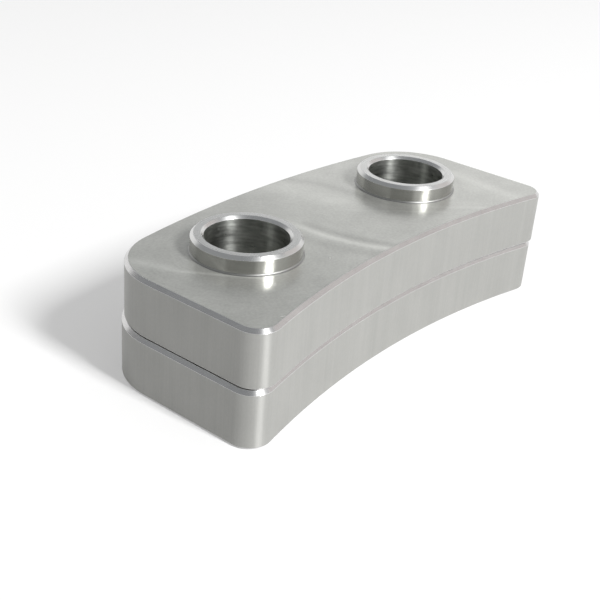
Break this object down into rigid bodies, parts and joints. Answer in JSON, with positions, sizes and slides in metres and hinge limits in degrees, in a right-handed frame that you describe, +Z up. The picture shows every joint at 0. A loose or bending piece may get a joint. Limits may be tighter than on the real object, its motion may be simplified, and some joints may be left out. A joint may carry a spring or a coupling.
{
  "type": "machined mounting block",
  "caption": "Curved block of flush stacked aluminium plates with bored bosses on top, for spacing and locating a bolted part.",
  "frame": {"origin": "middle of the block's footprint, on the surface it stands on", "axes": "+Z up through the bosses, +X along the block, -Y out of the concave face"},
  "size_m": [0.1068, 0.0478, 0.0292],
  "materials": {
    "machined_aluminium": "bare, as machined: milled top, end-milled sides and bright chamfers"
  },
  "bodies": {
    "root": {"lower_plate": "machined_aluminium", "upper_plate": "machined_aluminium"}
  },
  "joints": []
}
